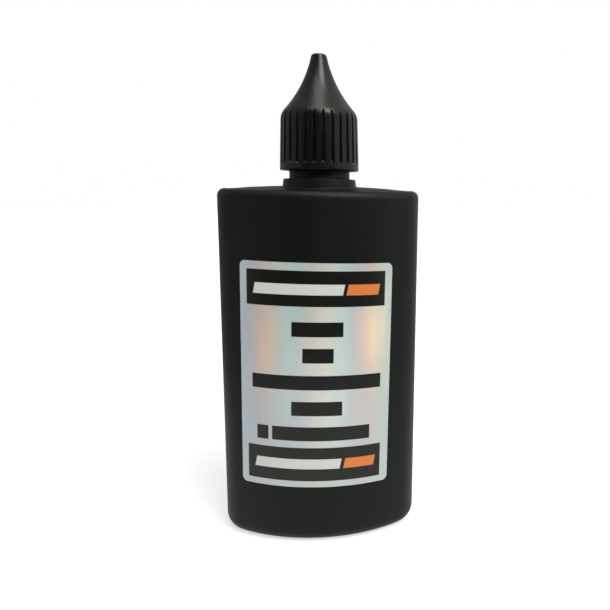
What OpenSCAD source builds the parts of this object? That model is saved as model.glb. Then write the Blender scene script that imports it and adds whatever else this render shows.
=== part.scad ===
// Small squeeze bottle for chain oil, with a push-in dropper nozzle,
// a ribbed spire cap that closes over it, and a stuck-on front label.
// The origin is at the middle of the base. The label faces -Y and +Z is up.

/* [Body] */
// Width of the bottle body, across its rounded ends
body_w = 54; // [46:0.5:70]
// Depth of the bottle body, front to back
body_d = 28.2; // [26:0.2:34]
// Height of the sharp edge where wall and shoulder would meet
body_h = 95.4; // [85:0.2:130]
// Radius of the two upright rounded ends
end_r = 9.3; // [8:0.1:10.5]
// Thickness of the blown wall
wall = 1; // [0.7:0.05:1.5]
// Rise of the shoulder towards the neck, in degrees
shoulder_slope = 6.5; // [0:0.5:12]
// Rounding between the wall and the shoulder
shoulder_r = 2; // [1.6:0.1:4]
// Rounding between the wall and the base
base_r = 4.2; // [2.5:0.1:6]
// Width of the foot ring that the bottle stands on, past the base rounding
foot_w = 1.6; // [1:0.1:3]
// Height of the pushed-up middle of the base
push_up = 1.3; // [0.5:0.1:3]

/* [Neck] */
// Outer diameter of the neck, without its thread
neck_d = 16.1; // [15:0.1:18]
// Diameter of the bore through the neck
bore_d = 12.6; // [10:0.1:13]
// Height of the neck above its collar
neck_h = 15.35; // [14.5:0.05:17]
// Diameter of the collar at the foot of the neck
collar_d = 19.5; // [18:0.1:22]
// Height of the collar above the highest line of the shoulder
collar_h = 1.65; // [1:0.05:4]
// Height of the thread above the neck, which the cap leaves room for
thread_h = 0.9; // [0.6:0.05:1.2]

/* [Cap] */
// Height of the cap, from rim to tip
cap_h = 29.75; // [27:0.25:36]
// Gap that shows between the collar and the rim of the closed cap
cap_gap = 2.25; // [1:0.05:3]
// Height of the ribbed skirt, up to the rounded shoulder of the cap
skirt_h = 12.95; // [11:0.05:15]
// Thickness of the skirt at its rim
skirt_wall = 1.3; // [1.1:0.05:2]
// Draft of the outside of the skirt, in degrees
skirt_draft = 1.6; // [0:0.1:2]
// Rounding between the skirt and the spire
crown_r = 4; // [2.5:0.1:5]
// Diameter of the spire just under its blunt tip
tip_d = 4.1; // [3.6:0.1:5]
// Slant of the spire at its tip, in degrees from upright
tip_slant = 13; // [9:0.5:16]
// Rounding round the edge of the tip
tip_round = 0.7; // [0.3:0.05:1]
// Thickness of the solid tip above the hollow of the spire
tip_t = 2.6; // [2:0.1:4]
// Thickness of the wall of the spire
spire_wall = 0.8; // [0.6:0.05:1.1]

/* [Ribs] */
// Number of grooves round the skirt, which leave the ribs between them
rib_count = 28; // [16:1:36]
// Width of each groove at the surface
groove_w = 0.9; // [0.5:0.05:1.2]
// Depth of each groove
groove_depth = 0.5; // [0.2:0.05:0.7]
// Height of the plain band below the ribs
band_h = 1.5; // [0.8:0.1:3]

/* [Dropper] */
// Thickness of the flange that lies on the lip of the neck
flange_t = 1; // [0.6:0.1:1.6]
// Length of the plug that is pushed into the neck
plug_h = 6; // [3:0.5:9]
// Thickness of the wall of the plug
plug_wall = 1; // [0.7:0.05:1.5]
// Diameter of the nozzle where it leaves the flange
nozzle_d = 8.4; // [6.5:0.1:9.5]
// Diameter of the nozzle at its tip
nozzle_tip_d = 2.7; // [2.4:0.05:3]
// Diameter of the hole that the oil comes out of
orifice_d = 1.2; // [1.1:0.05:1.5]
// Thickness of the wall of the nozzle at its foot
nozzle_wall = 1; // [0.7:0.05:1.5]

/* [Label] */
// Width of the label, measured along the curved front
label_w = 40.7; // [30:0.1:44]
// Height of the label
label_h = 60.8; // [40:0.1:66]
// Height of the middle of the label above the base
label_z = 47.15; // [40:0.05:52]
// Shift of the label along the front, to the left when negative
label_shift = -1.2; // [-2:0.1:2]
// Turn of the crookedly stuck label, clockwise in degrees
label_turn = 0.86; // [0:0.02:2]
// Rounding of the label's corners
label_r = 1.5; // [0.5:0.1:4]
// Thickness of the label's film
label_t = 0.15; // [0.1:0.01:0.3]

/* [Hidden] */
$fn = 96;

// Air left between pieces
thread_air = 0.25;
plug_air = 0.05;
seal_air = 0.1;
tip_air = 0.25;
pin_air = 0.2;
flange_air = 0.35;
label_glue = 0.02;

// The outline of the body is four arcs: two ends, and two long ones for front and back
end_x = body_w / 2 - end_r;
bulge = body_d / 2 - end_r;
long_y = (pow(end_x, 2) - pow(bulge, 2)) / (2 * bulge);
long_r = body_d / 2 + long_y;
end_angle = atan2(long_y, end_x);
end_steps = 16;
long_steps = 18;
round_steps = 4;
ridge_steps = 4;

// Heights of the neck
crown_z = body_h + body_d / 2 * tan(shoulder_slope);
collar_z = crown_z + collar_h;
lip_z = collar_z + neck_h;
collar_edge = 0.45;
lip_edge = 0.3;

// Cap, outside
rim_z = collar_z + cap_gap;
skirt_z = rim_z + skirt_h;
cap_z = rim_z + cap_h;
bore_r = neck_d / 2 + thread_h + thread_air;
rim_r = bore_r + skirt_wall;
skirt_r = rim_r - skirt_h * tan(skirt_draft);
rim_edge = 0.3;

// The spire is one hollow arc, tangent to the rounded crown and to the rounded tip
crown_c = [skirt_r - crown_r, skirt_z];
tip_n = [cos(tip_slant), sin(tip_slant)];
tip_p = [tip_d / 2, cap_z - tip_round * (1 - tip_n[1])];
tip_c = tip_p - tip_round * tip_n;
reach = tip_p - crown_c;
spire_r = (reach * reach - pow(crown_r, 2)) / (2 * (crown_r - reach * tip_n));
spire_c = tip_p + spire_r * tip_n;
meet_n = (spire_c - crown_c) / norm(spire_c - crown_c);
meet_p = crown_c + crown_r * meet_n;

// Cap, inside
flange_z = lip_z + flange_t;
seat_z = flange_z + seal_air;
hollow_z = cap_z - tip_t;
seat_chamfer = 1.2;
seat_w = 1.6;
seat_r = bore_r - seat_chamfer - seat_w;
pin_r = orifice_d / 2 - pin_air;
pin_h = 1.6;

// Dropper
flange_r = neck_d / 2 - flange_air;
plug_r = bore_d / 2 - plug_air;
plug_z = lip_z - plug_h;
nozzle_z = hollow_z - tip_air;
orifice_h = 2;
plug_lead = 0.6;

// Base
foot_in = base_r + foot_w;
push_edge = 0.8;

// Points along one arc of the outline, from one direction to another
function arc(centre, r, from, to, steps) = [
    for (i = [0 : steps])
        let (turn = from + (to - from) * i / steps)
            centre + r * [cos(turn), sin(turn)]
];

// The four arcs of the body's outline, drawn in by inset
function outline(inset) = concat(
    arc([end_x, 0], end_r - inset, -end_angle, end_angle, end_steps),
    arc([0, -long_y], long_r - inset, end_angle, 180 - end_angle, long_steps),
    arc([-end_x, 0], end_r - inset, 180 - end_angle, 180 + end_angle, end_steps),
    arc([0, long_y], long_r - inset, 180 + end_angle, 360 - end_angle, long_steps)
);

// The outline at one height
function ring(inset, z) = [for (p = outline(inset)) [p[0], p[1], z]];

// Rings round the lower edge, which is rounded by r
function low_edge(inset, z, r) = [
    for (i = [0 : round_steps])
        let (turn = 90 * i / round_steps)
            each ring(inset + r * (1 - sin(turn)), z + r * (1 - cos(turn)))
];

// Rings round the upper edge, which is rounded by r and runs into the sloping shoulder
function high_edge(inset, z, r, slope) =
    let (centre_z = z + r * (tan(slope) - 1 / cos(slope)))
    [
        for (i = [0 : round_steps])
            let (turn = slope + (90 - slope) * i / round_steps)
                each ring(inset + r * (1 - sin(turn)), centre_z + r * cos(turn))
    ];

// Highest line of the shoulder, over the middle of the body
function ridge(inset, z, slope) = [
    for (i = [-ridge_steps : ridge_steps])
        let (x = end_x * i / ridge_steps)
            [x, 0, z + tan(slope) * (long_r - inset - norm([x, long_y]))]
];

// Closed convex form with the body's outline, from the height low to the edge height high
module oval_form(inset, low, high, low_r, high_r, slope) {
    points = concat(
        low_edge(inset, low, low_r),
        high_edge(inset, high, high_r, slope),
        ridge(inset, high, slope)
    );
    hull()
        polyhedron(points, [for (i = [0 : 3 : len(points) - 3]) [i, i + 1, i + 2]]);
}

// Pushed-up middle of the base, grown by a wall for the floor inside
module base_push(grow) {
    oval_form(foot_in - grow, -1, push_up + grow, 0, push_edge, 0);
}

module bottle() {
    color("#1f2220")
    difference() {
        union() {
            oval_form(0, 0, body_h, base_r, shoulder_r, shoulder_slope);
            neck_form();
        }
        difference() {
            oval_form(wall, wall, body_h - wall, base_r - wall, shoulder_r - wall, shoulder_slope);
            base_push(wall);
        }
        base_push(0);
        translate([0, 0, body_h - 2 * wall])
            cylinder(h = lip_z - body_h + 4 * wall, d = bore_d);
    }
}

// Collar and neck, turned as one
module neck_form() {
    rotate_extrude()
        polygon([
            [0, body_h - wall / 2],
            [collar_d / 2, body_h - wall / 2],
            [collar_d / 2, collar_z - collar_edge],
            [collar_d / 2 - collar_edge, collar_z],
            [neck_d / 2, collar_z],
            [neck_d / 2, lip_z - lip_edge],
            [neck_d / 2 - lip_edge, lip_z],
            [0, lip_z],
        ]);
}

module dropper_insert() {
    color("#e6e7e2")
    rotate_extrude()
        difference() {
            polygon([
                [0, plug_z],
                [plug_r - plug_lead, plug_z],
                [plug_r, plug_z + plug_lead],
                [plug_r, lip_z],
                [flange_r, lip_z],
                [flange_r, flange_z],
                [nozzle_d / 2, flange_z],
                [nozzle_tip_d / 2, nozzle_z],
                [0, nozzle_z],
            ]);
            polygon([
                [0, plug_z - 1],
                [plug_r - plug_wall, plug_z - 1],
                [plug_r - plug_wall, lip_z - plug_wall],
                [nozzle_d / 2 - nozzle_wall, flange_z + nozzle_wall / 2],
                [orifice_d / 2, nozzle_z - orifice_h],
                [orifice_d / 2, nozzle_z + 1],
                [0, nozzle_z + 1],
            ]);
        }
}

// Half section of the outside of the cap
module cap_section() {
    difference() {
        polygon([
            [0, rim_z],
            [rim_r - rim_edge, rim_z],
            [rim_r, rim_z + rim_edge],
            [skirt_r, skirt_z],
            meet_p,
            tip_p,
            [tip_c[0], cap_z],
            [0, cap_z],
        ]);
        translate(spire_c)
            circle(spire_r, $fn = 4 * $fn);
    }
    translate(crown_c)
        circle(crown_r);
    translate(tip_c)
        circle(tip_round);
}

// Half section of the hollow of the cap: thread bore, seat and hollow spire
module hollow_section() {
    polygon([
        [0, rim_z - 1],
        [bore_r, rim_z - 1],
        [bore_r, seat_z - seat_chamfer],
        [bore_r - seat_chamfer, seat_z],
        [0, seat_z],
    ]);
    difference() {
        translate([0, seat_z - 1])
            square([seat_r, hollow_z - seat_z + 1]);
        translate(spire_c)
            circle(spire_r + spire_wall, $fn = 4 * $fn);
    }
}

// Grooves between the ribs, with flanks that lean outwards
module rib_grooves() {
    deep_r = skirt_r - groove_depth;
    out_r = rim_r + 1;
    lean = (groove_w / 4) / groove_depth;
    for (i = [0 : rib_count - 1])
        rotate((i + 0.5) * 360 / rib_count)
            polygon([
                [deep_r, -groove_w / 4],
                [out_r, -groove_w / 4 - lean * (out_r - deep_r)],
                [out_r, groove_w / 4 + lean * (out_r - deep_r)],
                [deep_r, groove_w / 4],
            ]);
}

module cap() {
    color("#1b1d1c")
    union() {
        difference() {
            rotate_extrude()
                cap_section();
            rotate_extrude()
                hollow_section();
            translate([0, 0, rim_z + band_h])
                linear_extrude(skirt_h + crown_r)
                    rib_grooves();
        }
        translate([0, 0, hollow_z - pin_h])
            cylinder(h = pin_h + tip_t / 2, r = pin_r);
    }
}

// Flat outline of the label as the front shows it, with rounded corners
module label_outline() {
    turn = 180 / PI / (long_r + label_glue);
    left = long_r * sin((label_shift - label_w / 2) * turn);
    right = long_r * sin((label_shift + label_w / 2) * turn);
    half_w = (right - left) / 2;
    translate([(left + right) / 2, label_z])
        rotate(-label_turn)
            union() {
                square([2 * (half_w - label_r), label_h], center = true);
                square([2 * half_w, label_h - 2 * label_r], center = true);
                for (x = [-1, 1], y = [-1, 1])
                    translate([x * (half_w - label_r), y * (label_h / 2 - label_r)])
                        circle(label_r);
            }
}

module label_plan() {
    inner = long_r + label_glue;
    polygon(concat(
        arc([0, long_y], inner + label_t, 180 + end_angle, 360 - end_angle, long_steps),
        arc([0, long_y], inner, 360 - end_angle, 180 + end_angle, long_steps)
    ));
}

module label() {
    color("#c9cdc9")
    intersection() {
        linear_extrude(body_h)
            label_plan();
        rotate([90, 0, 0])
            linear_extrude(body_d)
                label_outline();
    }
}

bottle();
dropper_insert();
cap();
label();
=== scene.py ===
# %% [markdown]
# # A squeeze bottle for chain oil
#
# This lesson dresses a small oval bottle: a blown black body, a dropper nozzle pushed into its
# neck, a ribbed cap with a tall spire that closes over the nozzle, and a shiny film label on the
# front. The solids come from the frame. Here they get smooth skins, threads, ribs and finishes.

# %% Load the frame
import math

import bpy
import numpy as np
from mathutils import Matrix, Vector


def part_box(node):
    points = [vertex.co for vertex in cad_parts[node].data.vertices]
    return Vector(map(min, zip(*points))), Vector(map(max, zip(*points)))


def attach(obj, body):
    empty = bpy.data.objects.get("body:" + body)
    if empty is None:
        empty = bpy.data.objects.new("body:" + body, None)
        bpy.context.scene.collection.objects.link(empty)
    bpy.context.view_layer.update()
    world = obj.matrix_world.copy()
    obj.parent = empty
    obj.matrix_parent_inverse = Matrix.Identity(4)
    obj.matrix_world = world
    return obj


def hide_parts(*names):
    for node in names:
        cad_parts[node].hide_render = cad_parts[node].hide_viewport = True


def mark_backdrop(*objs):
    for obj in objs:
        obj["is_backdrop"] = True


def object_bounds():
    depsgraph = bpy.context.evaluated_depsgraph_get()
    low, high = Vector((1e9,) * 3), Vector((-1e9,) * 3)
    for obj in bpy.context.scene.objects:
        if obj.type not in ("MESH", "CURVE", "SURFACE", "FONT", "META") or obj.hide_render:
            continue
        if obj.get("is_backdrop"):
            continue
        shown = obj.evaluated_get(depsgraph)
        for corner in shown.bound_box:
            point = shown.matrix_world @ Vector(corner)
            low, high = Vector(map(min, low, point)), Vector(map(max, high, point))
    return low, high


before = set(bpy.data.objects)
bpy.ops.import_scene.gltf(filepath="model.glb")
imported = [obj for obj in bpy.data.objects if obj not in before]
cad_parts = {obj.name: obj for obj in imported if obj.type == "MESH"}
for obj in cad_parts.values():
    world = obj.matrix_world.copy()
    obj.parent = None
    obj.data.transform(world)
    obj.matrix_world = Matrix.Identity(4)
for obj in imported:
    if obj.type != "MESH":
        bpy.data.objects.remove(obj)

cad_low, cad_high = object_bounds()
MM = 0.001
print("nodes:", sorted(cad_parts))
print("box in mm:", [round(v / MM, 2) for v in (*cad_low, *cad_high)])

# %% [markdown]
# ## Sizes
#
# Every place below is worked out from the frame's boxes and a few sizes of the real bottle, in
# millimetres. The outline of the body is four arcs that run smoothly into each other: two tight
# ones at the ends and two long ones for the front and the back. Only the end radius has to be
# known, and the long arcs follow from the width and the depth.

# %% Sizes of the bottle
bottle_low, bottle_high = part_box("bottle")
cap_low, cap_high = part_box("cap")
insert_low, insert_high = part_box("dropper_insert")
label_low, label_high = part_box("label")

BODY_W = (bottle_high.x - bottle_low.x) / MM
BODY_D = (bottle_high.y - bottle_low.y) / MM
LIP_Z = bottle_high.z / MM
RIM_Z = cap_low.z / MM
CAP_Z = cap_high.z / MM
NOZZLE_Z = insert_high.z / MM
PLUG_Z = insert_low.z / MM

END_R = 9.3
WALL = 1.0
BASE_R = 4.2
SHOULDER_R = 2.0
SHOULDER_RISE = math.tan(math.radians(6.5))
NECK_R = 8.05
BORE_R = 6.3
NECK_H = 15.35
COLLAR_R = 9.82
COLLAR_H = 1.65

END_X = BODY_W / 2 - END_R
BULGE = BODY_D / 2 - END_R
LONG_Y = (END_X ** 2 - BULGE ** 2) / (2 * BULGE)
LONG_R = BODY_D / 2 + LONG_Y
END_TURN = math.atan2(LONG_Y, END_X)
COLLAR_Z = LIP_Z - NECK_H
EDGE_Z = COLLAR_Z - COLLAR_H - SHOULDER_RISE * BODY_D / 2
print("long arcs of radius", round(LONG_R, 2), "and shoulder edge at", round(EDGE_Z, 2))

# %% [markdown]
# ## Skins from rings
#
# Most pieces of a bottle are a stack of rings: each ring has the same number of points, and faces
# join each ring to the next. A skin closes its two ends on a middle point. A tube has no ends,
# because its last ring joins its first, as a wall with a hole through it does. Every finished
# object sits at the origin, with its place in its mesh, so that patterns stay where they are.

# %% Meshes from points
SHARP = math.radians(32)


def link(mesh, name):
    obj = bpy.data.objects.new(name, mesh)
    bpy.context.scene.collection.objects.link(obj)
    return obj


def shade(mesh, sharp=SHARP):
    mesh.shade_smooth()
    mesh.set_sharp_from_angle(angle=sharp)


def solid(name, points, faces, sharp=SHARP):
    """An object from points in millimetres, smooth but for its sharp edges."""
    mesh = bpy.data.meshes.new(name)
    mesh.from_pydata((points * MM).tolist(), [], faces)
    shade(mesh, sharp)
    print(name, "has", len(mesh.polygons), "faces")
    return link(mesh, name)


# %% Skins and tubes
def bands(rows, count, joined=False):
    """The faces between each ring and the next, and from the last to the first if joined."""
    faces = []
    for i in range(rows if joined else rows - 1):
        a, b = i * count, (i + 1) % rows * count
        faces += [(a + j, a + (j + 1) % count, b + (j + 1) % count, b + j) for j in range(count)]
    return faces


def skin(name, rings):
    count = len(rings[0])
    points = np.concatenate(rings + [rings[0].mean(0)[None], rings[-1].mean(0)[None]])
    first, last, top = len(points) - 2, len(points) - 1, len(points) - 2 - count
    faces = bands(len(rings), count)
    faces += [(first, (j + 1) % count, j) for j in range(count)]
    faces += [(last, top + j, top + (j + 1) % count) for j in range(count)]
    return solid(name, points, faces)


def tube(name, rings):
    return solid(name, np.concatenate(rings), bands(len(rings), len(rings[0]), joined=True))


# %% [markdown]
# ## The blown body
#
# The body is blown in a mould, so its wall is about a millimetre everywhere, its edges are
# rounded and its base is pushed up inside a flat foot ring. A box with bevels would miss the oval,
# so the body is a stack of ovals instead. They go over to circles on the shoulder, where each
# circle has its points at the same angles as the ovals, so that the faces don't twist.

# %% Ovals and circles
END_STEPS = 44
LONG_STEPS = 52


def arc(centre, radius, start, end, steps):
    turn = np.linspace(start, end, steps, endpoint=False)
    return np.c_[centre[0] + radius * np.cos(turn), centre[1] + radius * np.sin(turn)]


def outline(inset):
    near, far = END_TURN, math.pi - END_TURN
    return np.concatenate([
        arc((END_X, 0), END_R - inset, -near, near, END_STEPS),
        arc((0, -LONG_Y), LONG_R - inset, near, far, LONG_STEPS),
        arc((-END_X, 0), END_R - inset, far, 2 * math.pi - far, END_STEPS),
        arc((0, LONG_Y), LONG_R - inset, 2 * math.pi - far, 2 * math.pi - near, LONG_STEPS),
    ])


ROUND = np.arctan2(outline(0)[:, 1], outline(0)[:, 0])


def oval(inset, z):
    flat = outline(inset)
    return np.c_[flat, np.broadcast_to(z, len(flat))]


def circle(radius, z):
    return np.c_[radius * np.cos(ROUND), radius * np.sin(ROUND), np.broadcast_to(z, len(ROUND))]


print("points in a ring:", len(ROUND))

# %% [markdown]
# ## The shoulder
#
# The shoulder climbs from the edge towards the neck at one slope, so its height is a sum of how
# far a place is from the edge. Front and back meet in a ridge along the middle, which the mould
# leaves soft, and near its two ends the real shoulder stands a touch higher than the slope gives.

# %% The height of the shoulder
RIDGE_SOFT = 1.2
END_LIFT = 0.35
END_REACH = 10.0


def to_edge(x, y):
    ends = END_R - np.hypot(np.abs(x) - END_X, y)
    front = LONG_R - np.hypot(x, y - LONG_Y)
    back = LONG_R - np.hypot(x, y + LONG_Y)
    softer = RIDGE_SOFT / 4 * np.exp(-np.abs(front - back) / RIDGE_SOFT)
    over_end = np.arctan2(np.abs(y), np.abs(x) - END_X) < END_TURN
    return np.where(over_end & (np.abs(x) > END_X), ends, np.minimum(front, back) - softer)


def end_lift(x):
    past = np.maximum(np.abs(x) - (BODY_W / 2 - END_REACH), 0)
    return END_LIFT * (past / END_REACH) ** 2


def shoulder(x, y, drop=0.0):
    return EDGE_Z - drop + SHOULDER_RISE * to_edge(x, y) + end_lift(x)


print("shoulder height in the middle and over an end:",
      [round(float(shoulder(np.array(x), np.array(0.0))), 2) for x in (0.0, 25.0)])


# %% Rounded edges of the body
def low_edge(inset, z, radius, steps=9):
    turns = np.linspace(0, math.pi / 2, steps)
    return [oval(inset + radius * (1 - math.sin(t)), z + radius * (1 - math.cos(t)))
            for t in turns]


def high_edge(inset, z, radius, steps=8):
    """Rings from the upright wall round to the shoulder's slope."""
    slope = math.atan(SHOULDER_RISE)
    centre = z + radius * (SHOULDER_RISE - 1 / math.cos(slope)) + end_lift(outline(inset)[:, 0])
    turns = np.linspace(math.pi / 2, slope, steps)
    return [oval(inset + radius * (1 - math.sin(t)), centre + radius * math.cos(t))
            for t in turns]


def across_shoulder(start, end_r, drop, steps=12):
    """Rings that go over from an oval to a circle and lie on the shoulder's slope."""
    target = circle(end_r, 0.0)
    rings = []
    for t in np.linspace(0, 1, steps)[1:]:
        flat = start[:, :2] * (1 - t) + target[:, :2] * t
        rings.append(np.c_[flat, shoulder(flat[:, 0], flat[:, 1], drop)])
    return rings


# %% [markdown]
# ## Down, up and down again
#
# The skin starts in the middle of the base, runs down the push-up, round the foot, up the wall,
# over the shoulder and the collar, up the neck, over the lip, and then back down inside with the
# wall taken off. It is one closed shell, so it has a real wall where the neck is open.

# %% Rings of the foot, the wall and the shoulder
FOOT_W = 1.6
FOOT_IN = BASE_R + FOOT_W
FOOT_EDGE = 0.25
PUSH_UP = 1.3
PUSH_EDGE = 0.8
BASE_INSETS = (9.2, 8.0)
WALL_TOP = EDGE_Z - 2.2
FOOT_FILLET = 0.3
ARC_MIDDLE = 0.28  # how far a quarter arc of radius one cuts its corner at its middle


def bottle_rings():
    push_in = FOOT_IN + PUSH_EDGE
    push = [oval(inset, PUSH_UP) for inset in (*BASE_INSETS, push_in)]
    push += [oval(push_in - PUSH_EDGE * math.sin(t), PUSH_UP - PUSH_EDGE * (1 - math.cos(t)))
             for t in np.linspace(0, math.pi / 2, 5)[1:]]
    half_way = FOOT_EDGE * ARC_MIDDLE
    foot = [oval(FOOT_IN, FOOT_EDGE), oval(FOOT_IN - half_way, half_way),
            oval(FOOT_IN - FOOT_EDGE, 0.0)]
    wall = low_edge(0, 0, BASE_R)
    wall += [oval(0, z) for z in np.linspace(BASE_R, WALL_TOP, 18)[1:]]
    over = high_edge(0, EDGE_Z, SHOULDER_R)
    over += across_shoulder(over[-1], COLLAR_R + FOOT_FILLET, 0.0)
    return push + foot + wall + over


print("rings from the base to the collar:", len(bottle_rings()))

# %% Rings of the collar and the neck
COLLAR_TOP_R = 9.65
COLLAR_EDGE = 0.25
NECK_FILLET = 0.35
LIP_EDGE = 0.3


def collar_rings():
    ground = circle(COLLAR_R, 0.0)
    base = shoulder(ground[:, 0], ground[:, 1])
    rings = [circle(COLLAR_R + FOOT_FILLET * (1 - math.sin(t)),
                    base + FOOT_FILLET * (1 - math.cos(t)))
             for t in np.linspace(0, math.pi / 2, 6)[1:]]
    start_z, edge_z = base + FOOT_FILLET, COLLAR_Z - COLLAR_EDGE
    rings += [circle(COLLAR_R + (COLLAR_TOP_R - COLLAR_R) * s, start_z + (edge_z - start_z) * s)
              for s in (0.5, 1.0)]
    rings += [circle(COLLAR_TOP_R - COLLAR_EDGE * (1 - math.cos(t)),
                     edge_z + COLLAR_EDGE * math.sin(t))
              for t in np.linspace(0, math.pi / 2, 6)[1:]]
    return rings


def neck_rings():
    turns = np.linspace(0, math.pi / 2, 5)
    rings = [circle(NECK_R + NECK_FILLET * (1 - math.sin(t)),
                    COLLAR_Z + NECK_FILLET * (1 - math.cos(t))) for t in turns]
    rings += [circle(NECK_R - LIP_EDGE * (1 - math.cos(t)),
                     LIP_Z - LIP_EDGE * (1 - math.sin(t))) for t in turns]
    rings += [circle(BORE_R + LIP_EDGE * (1 - math.sin(t)),
                     LIP_Z - LIP_EDGE * (1 - math.cos(t))) for t in turns]
    return rings


print("rings of the collar and the neck:", len(collar_rings() + neck_rings()))

# %% Rings of the inside, and the finished skin
BORE_END = EDGE_Z + 1.2
BORE_FLARE = 0.4
INSIDE_TOP = EDGE_Z - 4


def inside_rings():
    high = high_edge(WALL, EDGE_Z - WALL, SHOULDER_R - WALL, 5)
    across = across_shoulder(high[-1], BORE_R + BORE_FLARE, WALL)
    rings = [circle(BORE_R, BORE_END)] + across[::-1] + high[::-1]
    rings += [oval(WALL, z) for z in (INSIDE_TOP, BASE_R)]
    rings += low_edge(WALL, WALL, BASE_R - WALL, 6)[::-1][1:]
    rings += [oval(FOOT_IN - WALL, WALL), oval(FOOT_IN, PUSH_UP + WALL)]
    return rings + [oval(BASE_INSETS[0], PUSH_UP + WALL)]


bottle_skin = skin("bottle_skin",
                   bottle_rings() + collar_rings() + neck_rings() + inside_rings())

# %% [markdown]
# ## Turned shapes
#
# The cap and the dropper are turned shapes. Blender's Screw modifier could turn a profile, but
# the cap needs more points over its grooves than between them, so rings are made here as well.
# A half section is given as radius and height, with rounded corners sampled from arcs.

# %% Sections and rings round the axis
def turned(section, turns):
    return [np.c_[r * np.cos(turns), r * np.sin(turns), np.full(len(turns), z)]
            for r, z in section]


def bend(centre, radius, start, end, steps):
    return [(centre[0] + radius * math.cos(t), centre[1] + radius * math.sin(t))
            for t in np.linspace(math.radians(start), math.radians(end), steps)]


def straight(a, b, steps):
    return [tuple(np.array(a) + (np.array(b) - np.array(a)) * t)
            for t in np.linspace(0, 1, steps)]


# %% [markdown]
# ## The dropper
#
# Under the cap a milky plug is pushed into the neck. Its flange lies on the lip, and its nozzle
# ends in a hole of about a millimetre, so the oil comes out in single drops. Two raised beads
# round the plug grip the bore. It shows only when the cap is off. Its wall is a tube, because the
# hole runs right through.

# %% Section of the dropper
FLANGE_R = (insert_high.x - insert_low.x) / 2 / MM
FLANGE_T = 1.0
FLANGE_CHAMFER = 0.15
FLANGE_ROUND = 0.3
PLUG_R = BORE_R - 0.05
PLUG_WALL = 1.0
BEADS = (2.0, 3.6)
BEAD_OUT = 0.25
BEAD_HALF = 0.3
LEAD_IN = 0.6
NOZZLE_R = 4.2
NOZZLE_WALL = 1.0
NOZZLE_FILLET = 0.5
TIP_R = 1.35
TIP_EDGE = 0.25
HOLE_R = 0.6
HOLE_DEPTH = 2.0
HOLE_EDGE = 0.1


def dropper_outside():
    stem_r, flange_z = PLUG_R - BEAD_OUT, LIP_Z + FLANGE_T
    section = [(PLUG_R - PLUG_WALL, PLUG_Z), (PLUG_R - LEAD_IN, PLUG_Z),
               (stem_r, PLUG_Z + LEAD_IN)]
    for bead in BEADS:
        section += [(stem_r, PLUG_Z + bead - BEAD_HALF), (PLUG_R, PLUG_Z + bead),
                    (stem_r, PLUG_Z + bead + BEAD_HALF)]
    section += [(stem_r, LIP_Z), (FLANGE_R - FLANGE_CHAMFER, LIP_Z),
                (FLANGE_R, LIP_Z + FLANGE_CHAMFER)]
    section += bend((FLANGE_R - FLANGE_ROUND, flange_z - FLANGE_ROUND), FLANGE_ROUND, 0, 90, 5)
    section += bend((NOZZLE_R + NOZZLE_FILLET, flange_z + NOZZLE_FILLET), NOZZLE_FILLET,
                    270, 190, 5)
    section += straight((NOZZLE_R - 0.1, flange_z + 0.9), (TIP_R + 0.12, NOZZLE_Z - 0.5), 8)
    return section + bend((TIP_R - TIP_EDGE, NOZZLE_Z - TIP_EDGE), TIP_EDGE, 10, 90, 5)


def dropper_inside():
    bore_r = PLUG_R - PLUG_WALL
    return [(HOLE_R + HOLE_EDGE, NOZZLE_Z), (HOLE_R, NOZZLE_Z - 0.12),
            (HOLE_R, NOZZLE_Z - HOLE_DEPTH),
            (NOZZLE_R - NOZZLE_WALL, LIP_Z + FLANGE_T + 0.5),
            (bore_r, LIP_Z - 1.0), (bore_r, PLUG_Z + 0.02)]


dropper = tube("dropper", turned(dropper_outside() + dropper_inside(),
                                 np.linspace(0, 2 * math.pi, 96, endpoint=False)))

# %% [markdown]
# ## The spire cap
#
# The cap is moulded in one piece. Its skirt leans in by under two degrees, so that it leaves the
# mould, and a rounded shoulder of 4 mm runs into the spire, which is a single hollow curve up to
# a blunt tip. That curve is one arc: it is tangent to the shoulder's arc and to the tip's
# rounding, so its radius can be worked out instead of guessed.

# %% The spire's arc
SKIRT_H = 12.95
SKIRT_LEAN = math.tan(math.radians(1.6))
RIM_R = (cap_high.x - cap_low.x) / 2 / MM
SKIRT_R = RIM_R - SKIRT_H * SKIRT_LEAN
CROWN_R = 4.0
TIP_SLANT = 13.0
TIP_ROUND = 0.7
TIP_HALF = 2.05

tip_n = np.array([math.cos(math.radians(TIP_SLANT)), math.sin(math.radians(TIP_SLANT))])
tip_p = np.array([TIP_HALF, CAP_Z - TIP_ROUND * (1 - tip_n[1])])
tip_c = tip_p - TIP_ROUND * tip_n
crown_c = np.array([SKIRT_R - CROWN_R, RIM_Z + SKIRT_H])
reach = tip_p - crown_c
spire_r = (reach @ reach - CROWN_R ** 2) / (2 * (CROWN_R - reach @ tip_n))
spire_c = tip_p + spire_r * tip_n
meet_n = (spire_c - crown_c) / np.linalg.norm(spire_c - crown_c)
meet_turn = math.degrees(math.atan2(meet_n[1], meet_n[0]))
print("the spire's arc has a radius of", round(float(spire_r), 1), "mm")

# %% [markdown]
# ## Inside the cap
#
# A moulded cap is hollow, and it shows when the cap is lifted. The hollow follows the spire's arc
# at the thickness of its wall. A flat seat presses on the dropper's flange, a chamfer leads from
# the thread's bore to the seat, and a small pin hangs from the top and closes the nozzle's hole.

# %% Sections of the cap, inside and outside
RIM_EDGE = 0.3
SPIRE_WALL = 0.8
CAP_BORE_R = 9.2
BORE_CHAMFER = 1.2
SEAT_W = 1.6
SEAT_Z = LIP_Z + FLANGE_T + 0.1
HOLLOW_FOOT = SEAT_Z + 3.4
HOLLOW_Z = CAP_Z - 2.6
PIN_R = 0.4
PIN_L = 1.6


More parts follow.
